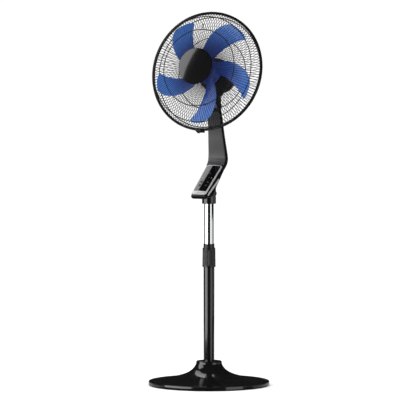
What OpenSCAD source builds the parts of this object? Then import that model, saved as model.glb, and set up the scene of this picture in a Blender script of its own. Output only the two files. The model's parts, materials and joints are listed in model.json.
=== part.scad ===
// Pedestal fan: round base, telescopic column, cranked arm with a sloping control head, swinging and tilting fan head.
// Millimetres, +Z up. The origin is on the floor, on the column's axis. The fan blows towards -Y.

/* [Base] */
// Outer radius of the base disc
base_r = 222; // [215:1:230]
// Height of the base's rim
rim_h = 16; // [14:0.5:18]
// Wall thickness of the base cover
base_wall = 2.5; // [2:0.1:3]

/* [Column] */
// Outer radius of the lower tube
outer_tube_r = 20; // [20:0.5:20]
// Height of the lower tube's top end above the floor
outer_tube_top = 436; // [430:1:440]
// Height of the top of the clamp sleeve
sleeve_top = 521; // [518:1:524]
// Outer radius of the upper, chromed tube
inner_tube_r = 17.25; // [17.25:0.05:17.25]
// Height of the lower end of the arm's socket
socket_bottom = 669; // [665:1:675]

/* [Arm] */
// Width of the arm at its bend
arm_w = 70; // [66:1:74]
// Slope of the control panel below horizontal, in degrees
panel_slope = 35.5; // [34:0.5:37]
// Length of the silver bezel along the slope
bezel_len = 166; // [160:1:170]
// Travel of the keys
key_travel = 0.8; // [0.5:0.1:0.8]

/* [Head] */
// Upward tilt of the head as it stands, in degrees
head_tilt = 13.5; // [10:0.5:14]
// Distance from the swing axis forward to the guard's parting plane
guard_ahead = 84; // [82:1:86]
// Height of the motor shaft above the tilt bolt
axis_up = 91; // [90:1:93]
// Radius of the motor housing
housing_r = 62; // [60:0.5:63]

/* [Guard and blades] */
// Outer radius of the guard's trim ring
guard_r = 222; // [220:1:224]
// Number of wires in each half of the guard
wires = 24; // [20:4:36]
// Tip radius of the blades
blade_r = 197; // [190:1:198]
// Number of blades
blade_count = 5; // [3:1:5]
// Radius of the badge in the middle of the guard
badge_r = 67; // [64:1:69]

/* [Hidden] */

$fn = 64;
running = 0.06;          // radial clearance of a running fit
fit = 0.02;              // radial clearance inside one body

// base
foot_h = 3;
neck_r = 47.5;           // straight part of the base's neck
bell_k = 20;             // height gained by the bell for each e-fold of its radius
bell_r0 = 40;            // radius at which the bell would stand upright
bell_top = 89;
weight_r = 196;
weight_h = 3.5;
bolt_head_r = 10;
bolt_head_h = 1.8;

// column
outer_tube_in = outer_tube_r - 1.5;
tube_foot = foot_h + weight_h;
sleeve_bottom = 395;
collar_bottom = outer_tube_top + 0.5;
collar_top = 506;
collar_r = 23.5;
flutes = 24;
glide_bottom = 330;
inner_tube_bottom = 345;
inner_tube_top = 719;
socket_r = 25.5;
key_hole_gap = 0.1;

// arm: its front and back lines in the Y-Z plane, from the top of the control head to the tilt bolt
tilt_y = 44;
tilt_z = 1047;
ear_r = 17;
front_line = [[45, 806], [57, 817], [63, 831], [62, 850], [55, 890], [48, 932], [36, 982], [27.5, 1022], [27, 1047]];
back_line = [[60, 785], [85, 806], [93, 826], [91, 850], [82.5, 890], [74.5, 932], [66.5, 985], [60.5, 1022], [61, 1047]];
arm_top_w = 40;
wall = 2.4;
cover_t = 0.14;          // the neck cover's share of the arm's depth
head_front = [[-88, 711], [-94, 703], [-84, 692], [-30, 694], [5, 731]];
panel_y = -21.5;
panel_z = 758.5;
crown_r = 150;           // radius of the crowned panel, across its width
key_r = 4.6;
key_places = [[0, 34], [-12, -17], [12, -17], [-12, -36], [12, -36]];
light_places = [[-18, 9], [-6, 9], [6, 9], [18, 9]];

// head, in the shaft's frame: X right, Y up, Z forward, 0 at the guard's parting plane
swing_d = -guard_ahead;
shaft_r = 4;
cover_front = -52;
cover_rear = -150;
stator_front = -74;
stator_rear = -102;
stator_r = 42;
rotor_r = 22;
nut_boss_r = 24;

// swing gear train
gear_module = 1;
gear_teeth = 48;
pinion_teeth = 12;
gear_r = gear_module * gear_teeth / 2;
pinion_r = gear_module * pinion_teeth / 2;
pinion_y = gear_r + pinion_r;
pin_r = 8;

function lerp(a, b, t) = a + (b - a) * t;
function spline_at(p, i, t) = let (
        n = len(p) - 1, a = p[max(i - 1, 0)], b = p[i], c = p[min(i + 1, n)], d = p[min(i + 2, n)])
    0.5 * (2 * b + (c - a) * t + (2 * a - 5 * b + 4 * c - d) * t * t + (3 * b - a - 3 * c + d) * t * t * t);
function spline(p, steps) = concat(
    [for (i = [0:len(p) - 2]) for (k = [0:steps - 1]) spline_at(p, i, k / steps)], [p[len(p) - 1]]);
function reversed(p) = [for (i = [len(p) - 1:-1:0]) p[i]];
function between(a, b, t) = [for (i = [0:len(a) - 1]) lerp(a[i], b[i], t)];
function bell_z(r) = rim_h + bell_k * ln((base_r - bell_r0) / (r - bell_r0));

module in_head() translate([0, tilt_y, tilt_z]) rotate([-head_tilt, 0, 0]) children();
module on_shaft() in_head() translate([0, -guard_ahead, axis_up]) rotate([90, 0, 0]) children();
module in_panel() translate([0, panel_y, panel_z]) rotate([panel_slope, 0, 0]) children();
module side_plate(points, w) rotate([90, 0, 90]) translate([0, 0, -w / 2]) linear_extrude(w) polygon(points);
module ring(r_out, r_in, h) difference() {
    cylinder(r = r_out, h = h, $fn = 96);
    translate([0, 0, -1]) cylinder(r = r_in, h = h + 2, $fn = 96);
}
module wire_ring(r, d, wire_r) translate([0, 0, d]) rotate_extrude($fn = 120) translate([r, 0]) circle(wire_r, $fn = 16);
module around(count, from = 0) for (i = [0:count - 1]) rotate([0, 0, from + i * 360 / count]) children();

// ---- base ----
bell_radii = [for (i = [0:22]) neck_r + (base_r - neck_r) * pow(i / 22, 2.2)];

module base_cover() color([0.03, 0.03, 0.03]) {
    outer = concat([[21, bell_top + 1], [neck_r - 2.5, bell_top + 1], [neck_r, bell_top - 1.5]],
        [for (r = bell_radii) [r, bell_z(r)]], [[base_r, 1]]);
    inner = concat([[base_r - base_wall, 1]],
        [for (r = reversed(bell_radii)) [r - base_wall, bell_z(r) - base_wall]],
        [[neck_r - base_wall, bell_top - 2], [21, bell_top - 2]]);
    difference() {
        rotate_extrude($fn = 128) polygon(concat(outer, inner));
        translate([0, 0, 60]) cylinder(r = outer_tube_r + fit, h = 60);
    }
    rotate_extrude($fn = 96) polygon([[outer_tube_r + fit, 40], [outer_tube_r + 3, 40],
        [outer_tube_r + 3, bell_top], [outer_tube_r + fit, bell_top]]);
}
module base_weight() color([0.25, 0.25, 0.27]) difference() {
    union() {
        translate([0, 0, foot_h]) cylinder(r = weight_r, h = weight_h, $fn = 128);
        translate([0, 0, foot_h]) ring(base_r - base_wall - 1, weight_r - 10, 2.5);
    }
    translate([0, 0, -1]) cylinder(r = 5.2, h = 40);
}
// six feet near the rim, and a pad in the middle that hides the bolt's head
module base_feet() color([0.1, 0.1, 0.1]) {
    around(6, 30) translate([180, 0, 0]) cylinder(r = 12, h = foot_h, $fn = 32);
    difference() {
        cylinder(r = 18, h = foot_h);
        translate([0, 0, foot_h - bolt_head_h]) cylinder(r = bolt_head_r + fit, h = foot_h);
    }
}
module tube_plug() color([0.5, 0.5, 0.5]) translate([0, 0, tube_foot]) ring(outer_tube_in - fit, 4.1, 26);
module base_bolt() color([0.7, 0.7, 0.7]) {
    translate([0, 0, foot_h - bolt_head_h]) cylinder(r = 4, h = 30, $fn = 32);
    translate([0, 0, foot_h - bolt_head_h]) cylinder(r = bolt_head_r, h = bolt_head_h);
}
module outer_tube() color([0.03, 0.03, 0.03])
    translate([0, 0, tube_foot]) ring(outer_tube_r, outer_tube_in, outer_tube_top - tube_foot);
module clamp_sleeve() color([0.05, 0.05, 0.05]) difference() {
    union() {
        translate([0, 0, sleeve_bottom]) cylinder(r = outer_tube_in - fit, h = outer_tube_top - sleeve_bottom);
        translate([0, 0, outer_tube_top]) cylinder(r = outer_tube_r, h = sleeve_top - outer_tube_top - 1.5);
        translate([0, 0, sleeve_top - 1.5]) cylinder(r1 = outer_tube_r, r2 = outer_tube_r - 1.2, h = 1.5);
    }
    translate([0, 0, sleeve_bottom - 1]) cylinder(r = inner_tube_r + running, h = 200);
    // slits that let the sleeve close on the tube
    for (a = [0, 90]) rotate([0, 0, a]) translate([-30, -1, sleeve_top - 60]) cube([60, 2, 80]);
}
module clamp_collar() color([0.05, 0.05, 0.05]) difference() {
    translate([0, 0, collar_bottom]) union() {
        cylinder(r1 = collar_r + 0.9, r2 = collar_r, h = collar_top - collar_bottom - 2);
        translate([0, 0, collar_top - collar_bottom - 2]) cylinder(r1 = collar_r, r2 = collar_r - 1.6, h = 2);
    }
    translate([0, 0, collar_bottom - 1]) cylinder(r = outer_tube_r + running, h = 120);
    around(flutes) translate([collar_r + 2.2, 0, collar_bottom + 5]) cylinder(r = 2.4, h = 56, $fn = 24);
}
module inner_tube() color([0.85, 0.85, 0.87])
    translate([0, 0, inner_tube_bottom]) ring(inner_tube_r, inner_tube_r - 1.2, inner_tube_top - inner_tube_bottom);
module tube_glide() color([0.85, 0.85, 0.8]) difference() {
    union() {
        translate([0, 0, glide_bottom]) cylinder(r = outer_tube_in - 0.1, h = inner_tube_bottom - glide_bottom);
        translate([0, 0, inner_tube_bottom]) cylinder(r = inner_tube_r - 1.2 - fit, h = 18);
    }
    translate([0, 0, glide_bottom - 1]) cylinder(r = 10, h = 60);
}

// ---- arm ----
function arm_half_w(z) = z < 828 ? lerp(28.5, arm_w / 2, (z - 690) / 138)
    : lerp(arm_w / 2, arm_top_w / 2, (z - 828) / 222);

// what lies inside the arm's tapering width, less a margin on each side
module arm_width(margin = 0) rotate([90, 0, 0]) translate([0, 0, -150]) linear_extrude(300) polygon(concat(
    [for (z = [660, 828, 1100]) [arm_half_w(z) - margin, z]], [for (z = [1100, 828, 660]) [margin - arm_half_w(z), z]]));
arm_front = spline(front_line, 4);
arm_back = spline(back_line, 4);
// a layer of the neck between two shares of its depth, from the front
module neck_layer(a, b, w = 200) side_plate(concat(
    between(arm_front, arm_back, a), reversed(between(arm_front, arm_back, b))), w);
module control_head(w = 200) side_plate(concat(head_front, [back_line[0], front_line[0]]), w);

screw_places = [back_line[4], back_line[5], back_line[6]];
board_posts = [for (y = [-52, 48]) for (s = [-1, 1]) [s * 17, y]];
module in_gland() translate([0, 71.5, 795]) rotate([-135, 0, 0]) children();

module arm_shell() color([0.03, 0.03, 0.03]) {
    arm_walls();
    intersection() {
        control_head();
        in_panel() for (p = board_posts) translate([p[0], p[1], board_z - 30]) cylinder(r = 3, h = 30, $fn = 24);
    }
}
module bezel_seat() in_panel() translate([-50, -100, -4]) cube([100, bezel_len / 2 + 100, 60]);
module arm_walls() difference() {
    union() {
        intersection() {
            union() {
                neck_layer(cover_t, 1);
                control_head();
            }
            arm_width();
        }
        translate([0, 0, socket_bottom]) cylinder(r = socket_r, h = 50);
        intersection() {
            translate([0, 0, 700]) cylinder(r = socket_r, h = 62);
            control_head(100);
        }
        translate([-arm_top_w / 2, tilt_y, tilt_z]) rotate([0, 90, 0]) cylinder(r = ear_r, h = arm_top_w);
    }
    // room for the upper tube
    translate([0, 0, socket_bottom - 1]) cylinder(r = inner_tube_r + running, h = inner_tube_top - socket_bottom + 1);
    // the neck is hollow between its front cover and its back wall
    intersection() {
        neck_layer(cover_t - 0.1, 0.9);
        arm_width(wall);
        translate([-100, 0, 800]) cube([200, 200, 219]);
    }
    // the tray under the control panel
    intersection() {
        in_panel() translate([-50, -76, -24]) cube([100, 146, 60]);
        arm_width(wall + 1.6);
        side_plate([[-86, 697], [-34, 699], [-27, 722], [26, 722], [34, 764], [58, 790], [58, 830], [-86, 830]], 200);
    }
    bezel_seat();
    // the fork at the top
    translate([-8.5, tilt_y - 40, tilt_z - 20]) cube([17, 80, 60]);
    translate([-8.5, tilt_y, tilt_z]) rotate([0, 90, 0]) cylinder(r = ear_r + 3, h = 17);
    translate([-40, tilt_y, tilt_z]) rotate([0, 90, 0]) cylinder(r = shaft_r + fit, h = 80);
    for (s = [-1, 1]) translate([s * 18.5 - 4, tilt_y, tilt_z]) rotate([0, 90, 0]) cylinder(r = 8.5, h = 8);
    // holes for the grub screw and for the cord gland
    rotate([0, 0, 40]) translate([10, 0, 706]) rotate([0, 90, 0]) cylinder(r = 2.5 + fit, h = 30, $fn = 32);
    in_gland() translate([0, 0, -12]) cylinder(r = 6 + fit, h = 30);
    in_gland() translate([0, 0, 0.9]) cylinder(r = 8.1, h = 6);
    for (p = screw_places) translate([0, p[0] + 12, p[1]]) rotate([90, 0, 0]) cylinder(r = 3 + fit, h = 24, $fn = 24);
}
module neck_cover() color([0.33, 0.33, 0.33]) difference() {
    intersection() {
        neck_layer(0, cover_t - 0.01);
        arm_width(0.6);
        translate([-100, -100, 700]) cube([200, 300, tilt_z - 23 - 700]);
    }
    bezel_seat();
}
// the outline of the bezel and of what lies in it, wider at the top, with round corners
function panel_half_w(y, inset) = lerp(28.5, 32, 0.5 + y / bezel_len) - inset;
module panel_outline(inset, low, high, corner) polygon([for (q = [0:3]) for (k = [0:6])
    let (s = (q == 0 || q == 3) ? 1 : -1, y = q < 2 ? high - corner : low + corner, a = (q + k / 6) * 90)
    [s * (panel_half_w(y, inset) - corner) + corner * cos(a), y + corner * sin(a)]]);
module crowned(top) translate([0, 100, top - crown_r]) rotate([90, 0, 0]) cylinder(r = crown_r, h = 200, $fn = 200);
lens_low = 14 - bezel_len / 2;
lens_high = bezel_len / 2 - 4;
module panel_bezel() color([0.75, 0.76, 0.78]) in_panel() difference() {
    intersection() {
        translate([0, 0, -3.99]) linear_extrude(8) panel_outline(0, -bezel_len / 2, bezel_len / 2, 6.5);
        crowned(3);
    }
    translate([0, 0, -5]) linear_extrude(12) panel_outline(3.5, lens_low, lens_high, 5);
}
module control_panel() color([0.02, 0.02, 0.02]) in_panel() difference() {
    intersection() {
        translate([0, 0, -0.3]) linear_extrude(5) panel_outline(3.55, lens_low + 0.05, lens_high - 0.05, 5);
        crowned(2.6);
    }
    for (p = key_places) translate([p[0], p[1], -2]) cylinder(r = key_r + key_hole_gap, h = 10, $fn = 32);
    for (p = light_places) translate([p[0], p[1], -2]) cylinder(r = 1.1 + fit, h = 10, $fn = 24);
}
module side_trim() color([0.7, 0.7, 0.72]) for (s = [-1, 1]) intersection() {
    side_plate([[-71, 702], [-69, 710], [12, 759], [20, 760], [16, 751], [-64, 702]], 200);
    difference() {
        arm_width(-0.8);
        arm_width(0);
    }
    translate([s * 50 - 50, -200, 600]) cube([100, 400, 300]);
}
board_z = -12;
module control_board() color([0.05, 0.3, 0.12]) in_panel() difference() {
    translate([-22, -58, board_z]) cube([44, 112, 1.6]);
    for (p = board_posts) translate([p[0], p[1], board_z - 1]) cylinder(r = 1.6, h = 4, $fn = 24);
}
module key_switches() color([0.6, 0.6, 0.6]) in_panel() for (p = key_places) translate([p[0], p[1], board_z + 1.6]) {
    translate([-3, -3, 0]) cube([6, 6, 3.4]);
    cylinder(r = 1.7, h = 4.4, $fn = 24);
}
module indicator_lights() color([0.8, 0.9, 1]) in_panel() for (p = light_places)
    translate([p[0], p[1], board_z + 1.6]) cylinder(r = 1.1, h = 12, $fn = 24);
module key_at(i) color([0.08, 0.08, 0.08]) in_panel() translate([key_places[i][0], key_places[i][1], 0]) {
    foot = board_z + 1.6 + 4.4 + key_travel + 0.2;
    translate([0, 0, -0.5]) cylinder(r = key_r, h = 3, $fn = 32);
    translate([0, 0, foot]) cylinder(r = 2, h = -0.4 - foot, $fn = 24);
    translate([0, 0, -1.9]) cylinder(r = key_r + 0.6, h = 1.5, $fn = 32);
}
module key_power() key_at(0);
module key_speed() key_at(1);
module key_mode() key_at(2);
module key_timer() key_at(3);
module key_swing() key_at(4);
module cord_gland() color([0.1, 0.1, 0.1]) in_gland() difference() {
    union() {
        translate([0, 0, -8]) cylinder(r = 6, h = 9);
        translate([0, 0, 1]) cylinder(r1 = 8, r2 = 7, h = 4);
    }
    translate([0, 0, -9]) cylinder(r = 3.4, h = 30, $fn = 32);
}
module cover_screws() color([0.5, 0.5, 0.5]) for (p = screw_places)
    translate([0, p[0] + 0.5, p[1]]) rotate([90, 0, 0]) cylinder(r = 3, h = 9, $fn = 24);
module socket_screw() color([0.4, 0.4, 0.4]) rotate([0, 0, 40]) translate([inner_tube_r, 0, 706]) rotate([0, 90, 0]) {
    cylinder(r = 2.5, h = 9, $fn = 32);
    translate([0, 0, socket_r - inner_tube_r]) cylinder(r = 5, h = 2.6, $fn = 32);
}
module tilt_bolt() color([0.6, 0.6, 0.6]) translate([0, tilt_y, tilt_z]) rotate([0, 90, 0]) {
    translate([0, 0, -19]) cylinder(r = shaft_r, h = 36);
    translate([0, 0, 14.5]) cylinder(r = 7, h = 5, $fn = 6);
}
module tilt_nut() color([0.6, 0.6, 0.6]) translate([0, tilt_y, tilt_z]) rotate([0, 90, 0]) translate([0, 0, -18.9])
    difference() {
        cylinder(r = 7.5, h = 4.4, $fn = 6);
        translate([0, 0, -1]) cylinder(r = shaft_r + fit, h = 8);
    }

// ---- tilt and swing ----
module tilt_knuckle() color([0.1, 0.1, 0.1]) in_head() difference() {
    union() {
        translate([-8.2, 0, 0]) rotate([0, 90, 0]) cylinder(r = 15, h = 16.4);
        translate([-8.2, -13, 0]) cube([16.4, 26, 20]);
        translate([0, 0, 19]) cylinder(r = 19, h = 6);
        cylinder(r = pin_r, h = 44.5);
    }
    translate([-20, 0, 0]) rotate([0, 90, 0]) cylinder(r = shaft_r + running, h = 40);
    translate([0, 0, 30]) cylinder(r = 2 + fit, h = 20, $fn = 32);
}
// spur gear outline with straight-sided teeth, a little slack at the pitch line
module spur(teeth, r, clearance) polygon([for (i = [0:teeth - 1]) for (k = [0:3])
    let (step = 360 / teeth, w = [-0.36, -0.15, 0.15, 0.36][k] * step * 0.62,
        rr = (k == 0 || k == 3) ? r - 1.2 * gear_module : r + 0.85 * gear_module - clearance)
    [rr * cos(i * step + w), rr * sin(i * step + w)]]);
module swing_gear() color([0.9, 0.9, 0.85]) in_head() translate([0, 0, 26]) linear_extrude(6) difference() {
    intersection() {
        rotate(90) spur(gear_teeth, gear_r, 0);
        polygon([for (a = [90 - 62:124 / 12:90 + 62 + 1]) 40 * [cos(a), sin(a)], [-14, -16], [14, -16]]);
    }
    circle(pin_r + fit);
}
module swing_pinion() color([0.9, 0.9, 0.85]) in_head() translate([0, pinion_y, 25.6]) difference() {
    linear_extrude(7) rotate(-90 + 180 / pinion_teeth) spur(pinion_teeth, pinion_r, 0.1);
    translate([0, 0, 3]) cylinder(r = 2, h = 10, $fn = 32);
}
module swing_washer() color([0.7, 0.7, 0.7]) in_head() translate([0, 0, 44.5]) ring(11, 2 + fit, 1.2);
module swing_screw() color([0.7, 0.7, 0.7]) in_head() {
    translate([0, 0, 32]) cylinder(r = 2, h = 14, $fn = 32);
    translate([0, 0, 45.7]) cylinder(r = 4, h = 2.2, $fn = 6);
}
module swing_motor() color([0.75, 0.75, 0.72]) in_head() translate([0, pinion_y, 0]) {
    translate([0, 0, 40]) cylinder(r = 17, h = 8);
    translate([0, 0, 28.8]) cylinder(r = 2 - running, h = 12, $fn = 32);
}
module motor_bracket() color([0.6, 0.6, 0.62]) difference() {
    union() {
        in_head() translate([0, 0, 36]) linear_extrude(4) polygon([[-18, -21], [18, -21], [18, 20], [9, 40],
            [-9, 40], [-18, 20]]);
        in_head() translate([0, 0, 36]) cylinder(r = 12, h = 8);
        on_shaft() translate([0, 0, -65.5]) cylinder(r = stator_r, h = 3);
        in_head() translate([-18, -guard_ahead + 62.5, 36]) cube([36, 3, 30]);
    }
    in_head() translate([0, 0, 20]) cylinder(r = pin_r + running, h = 40);
    in_head() translate([0, pinion_y, 20]) cylinder(r = 5, h = 40);
    on_shaft() translate([0, 0, -70]) cylinder(r = 14, h = 12);
    on_shaft() around(4, 45) translate([34, 0, -70]) cylinder(r = 2 + fit, h = 12, $fn = 24);
}

// ---- motor ----
module end_bell(boss) {
    ring(stator_r, stator_r - 6, 8);
    ring(12, 7.5 + fit, boss);
    around(4) translate([10, -5, 0]) cube([stator_r - 14, 10, 3]);
}
module with_bolt_holes() difference() {
    children();
    around(4, 45) translate([34, 0, -130]) cylinder(r = 2 + fit, h = 90, $fn = 24);
}
module front_end_bell() color([0.7, 0.7, 0.72]) on_shaft() with_bolt_holes() union() {
    translate([0, 0, -65.5]) mirror([0, 0, 1]) {
        end_bell(8);
        around(4, 45) translate([34, 0, 0]) cylinder(r = 5, h = 8.4, $fn = 32);
    }
}
module rear_end_bell() color([0.7, 0.7, 0.72]) on_shaft() with_bolt_holes() union() {
    translate([0, 0, -110.4]) {
        end_bell(8);
        around(4, 45) translate([34, 0, 0]) cylinder(r = 5, h = 8.3, $fn = 32);
    }
}
module front_bearing() color([0.7, 0.55, 0.3]) on_shaft() translate([0, 0, -73.4]) ring(7.5, shaft_r + 0.05, 7.8);
module rear_bearing() color([0.7, 0.55, 0.3]) on_shaft() translate([0, 0, -110.3]) ring(7.5, shaft_r + 0.05, 7.8);
module stator_core() color([0.45, 0.45, 0.48]) on_shaft() translate([0, 0, stator_rear]) difference() {
    cylinder(r = stator_r, h = stator_front - stator_rear);
    translate([0, 0, -1]) cylinder(r = rotor_r + 0.6, h = 60);
    around(16) translate([29, 0, -1]) cylinder(r = 3.2, h = 60, $fn = 24);
    around(4, 45) translate([34, 0, -1]) cylinder(r = 2 + fit, h = 60, $fn = 24);
}
module stator_coils() color([0.7, 0.35, 0.15]) on_shaft() for (d = [stator_front + 0.05, stator_rear - 2.55])
    around(4, 11.25) rotate_extrude(angle = 62) translate([24, d]) square([4.5, 2.5]);
module motor_bolts() color([0.75, 0.75, 0.75]) on_shaft() around(4, 45) translate([34, 0, 0]) {
    translate([0, 0, -112]) cylinder(r = 2, h = 50, $fn = 24);
    translate([0, 0, -62.5]) cylinder(r = 3.5, h = 2.4, $fn = 6);
}
module rotor_core() color([0.55, 0.55, 0.58]) on_shaft() translate([0, 0, stator_rear]) ring(rotor_r, shaft_r + fit, 28);
module motor_shaft() color([0.8, 0.8, 0.82]) on_shaft() difference() {
    translate([0, 0, -114]) cylinder(r = shaft_r, h = 114 + hub_front + 8);
    translate([-10, 0, -29]) rotate([0, 90, 0]) cylinder(r = 1.5 + fit, h = 20, $fn = 24);
}
module drive_pin() color([0.8, 0.8, 0.82]) on_shaft() translate([-13, 0, -29]) rotate([0, 90, 0])
    cylinder(r = 1.5, h = 26, $fn = 24);

// the plain space that the chin takes around the swing axis and the pinion, in the head's frame
module chin_block(grow, low, high) translate([0, 0, low]) linear_extrude(high - low) {
    circle(r = 30 + grow);
    translate([0, pinion_y]) circle(r = 14 + grow);
    polygon([[-30 - grow, 0], [-14 - grow, pinion_y], [14 + grow, pinion_y], [30 + grow, 0]]);
}
module front_half() in_head() translate([-200, -200, -100]) cube([400, 200, 400]);
module rear_half() in_head() translate([-200, 0.1, -100]) cube([400, 200, 400]);
// outline of the motor housing: radius and depth, from its flat back to its flat front
dome = spline([[36, cover_rear], [46, cover_rear + 3], [53, cover_rear + 10], [58, cover_rear + 22],
    [61, cover_rear + 38], [housing_r, cover_rear + 56], [housing_r, cover_front - 12], [59, cover_front - 3],
    [55, cover_front]], 2);
module housing_solid(inset) on_shaft() rotate_extrude($fn = 96) polygon(concat([[0, cover_rear + inset]],
    [for (p = dome) [min(p[0], housing_r) - inset, min(max(p[1], cover_rear + inset), cover_front - inset)]],
    [[0, cover_front - inset]]));
module housing() difference() {
    union() {
        housing_solid(0);
        in_head() chin_block(0, 22, 50);
    }
    housing_solid(wall);
    in_head() chin_block(-wall, 24.4, 60);
    in_head() translate([0, 0, 10]) cylinder(r = 20.5, h = 20);
}
module motor_front_cover() color([0.04, 0.04, 0.04]) difference() {
    union() {
        intersection() {
            housing();
            front_half();
        }
        on_shaft() translate([0, 0, cover_front - wall]) cylinder(r = nut_boss_r, h = wall + 12);
    }
    on_shaft() translate([0, 0, cover_front - 20]) cylinder(r = 15, h = 50);
    on_shaft() around(3, 90) translate([40, 0, cover_front - 10]) cylinder(r = 2 + fit, h = 20, $fn = 24);
}
module motor_rear_cover() color([0.04, 0.04, 0.04]) difference() {
    intersection() {
        housing();
        rear_half();
    }
    // cooling slots in the back
    on_shaft() for (y = [-22:8:26]) translate([-24, y - 2, cover_rear - 1]) cube([48, 4, 5]);
}
module housing_screws() color([0.6, 0.6, 0.6]) on_shaft() around(3, 90) translate([40, 0, 0]) {
    translate([0, 0, cover_front - 8.5]) cylinder(r = 2, h = 9, $fn = 24);
    translate([0, 0, cover_front]) cylinder(r = 3.5, h = 1.8, $fn = 24);
}
module capacitor() color([0.9, 0.9, 0.88]) on_shaft() translate([-19, 24, -138]) cube([38, 12, 24]);

// ---- guard ----
// the wires' lines as radius and depth
front_path = [[56, 95.7], [100, 88], [142.7, 73], [172, 60], [197.6, 43], [209, 27], [213, 10], [213.6, 4.7]];
rear_path = [[44, -48.2], [90, -48], [135, -46], [172, -43.5], [195, -36], [207, -22], [212.4, -10], [213.6, -4.7]];
wire_t = 2;
hoop_t = 1.7;            // radius of the hoops' wire
rim_hoop_t = 2;
rim_hoop_r = 214.5;
// one guard wire as a flat bar that follows a path of radius and depth
module guard_wire(path) {
    p = spline(path, 2);
    side = [for (i = [0:len(p) - 1]) let (a = p[max(i - 1, 0)], b = p[min(i + 1, len(p) - 1)], t = (b - a) / norm(b - a))
        [-t[1], t[0]]];
    rotate([90, 0, 0]) translate([0, 0, -wire_t / 2]) linear_extrude(wire_t) polygon(concat(
        [for (i = [0:len(p) - 1]) p[i] + side[i]], reversed([for (i = [0:len(p) - 1]) p[i] - side[i]])));
}
// the wires lie on the outside of their hoops
module front_guard() color([0.12, 0.12, 0.12]) on_shaft() {
    around(wires) guard_wire(front_path);
    wire_ring(rim_hoop_r, rim_hoop_t + 0.6, rim_hoop_t);
    wire_ring(195.8, 40.9, hoop_t);
    wire_ring(141.6, 70.3, hoop_t);
    translate([0, 0, 91]) ring(62, 50, 2.5);
}
module rear_guard() color([0.12, 0.12, 0.12]) on_shaft() {
    around(wires) guard_wire(rear_path);
    wire_ring(rim_hoop_r, -rim_hoop_t - 0.6, rim_hoop_t);
    wire_ring(204.7, -20.4, hoop_t);
    wire_ring(134.8, -43.2, hoop_t);
    difference() {
        translate([0, 0, cover_front]) ring(50, nut_boss_r + fit, 2.6);
        around(3, 90) translate([40, 0, cover_front - 1]) cylinder(r = 4.2, h = 5, $fn = 24);
    }
}
module guard_nut() color([0.05, 0.05, 0.05]) on_shaft() translate([0, 0, cover_front + 2.6]) difference() {
    cylinder(r = 37, h = 8);
    translate([0, 0, -1]) cylinder(r = nut_boss_r + fit, h = 12);
    around(12) translate([38.5, 0, -1]) cylinder(r = 3.4, h = 12, $fn = 24);
}
module guard_ring() color([0.05, 0.05, 0.05]) on_shaft() rotate_extrude($fn = 160) polygon([
    [guard_r - 6.4, -6.5], [guard_r - 1.5, -6.5], [guard_r, -4], [guard_r, 4], [guard_r - 1.5, 6.5],
    [guard_r - 6.4, 6.5], [guard_r - 6.4, 4.9], [guard_r - 4.8, 4.9], [guard_r - 4.8, -4.9], [guard_r - 6.4, -4.9]]);
module badge() color([0.02, 0.02, 0.02]) on_shaft() rotate_extrude($fn = 96) polygon([[0, 97], [badge_r - 2, 97],
    [badge_r, 98.5], [badge_r, 101], [badge_r - 2, 103], [45, 105], [20, 106.2], [0, 106.5]]);
module top_hook() color([0.12, 0.12, 0.12]) on_shaft() translate([0, 146, 75.2]) rotate([-26, 0, 0]) {
    translate([-3, 0, 0]) cube([6, 16, 2]);
    translate([-3, 14, 0]) cube([6, 2, 7]);
}
clip_y = -guard_r - 3;
clip_hinge_d = 6.5;
clip_pin_r = 1.1;
module clip_bracket() color([0.06, 0.06, 0.06]) on_shaft() difference() {
    translate([-14, clip_y - 2.8, -5]) cube([28, 6, 14]);
    translate([0, 0, -20]) cylinder(r = guard_r + fit, h = 60, $fn = 160);
    translate([-11, clip_y - 5, 2.8]) cube([22, 14, 8]);
    translate([-20, clip_y - 0.6, clip_hinge_d]) rotate([0, 90, 0]) cylinder(r = clip_pin_r + 0.1, h = 40, $fn = 24);
}
module guard_clip() color([0.06, 0.06, 0.06]) on_shaft() {
    translate([-16, clip_y - 0.6, clip_hinge_d]) rotate([0, 90, 0]) cylinder(r = clip_pin_r, h = 32, $fn = 24);
    translate([-10.4, clip_y - 2.2, 4.6]) cube([20.8, 3, 20.4]);
    translate([-5, clip_y - 9, 15]) cube([10, 7.5, 2.6]);
    translate([-10.4, clip_y + 0.4, 23]) cube([20.8, 6, 2]);
}

// ---- blades ----
blade_hub_r = 45;
hub_front = 36;
hub_rear = -26;
// the blade's angle and depth at share t of its span and share u of its chord
function blade_edge(t, u) = lerp(9.9 - 22.5 * t, 53.6 - 36 * t - 5 * t * t, u);
function blade_depth(t, u) = 18 + (u - 0.5) * 27 + 7 * u * (1 - u);
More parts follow.
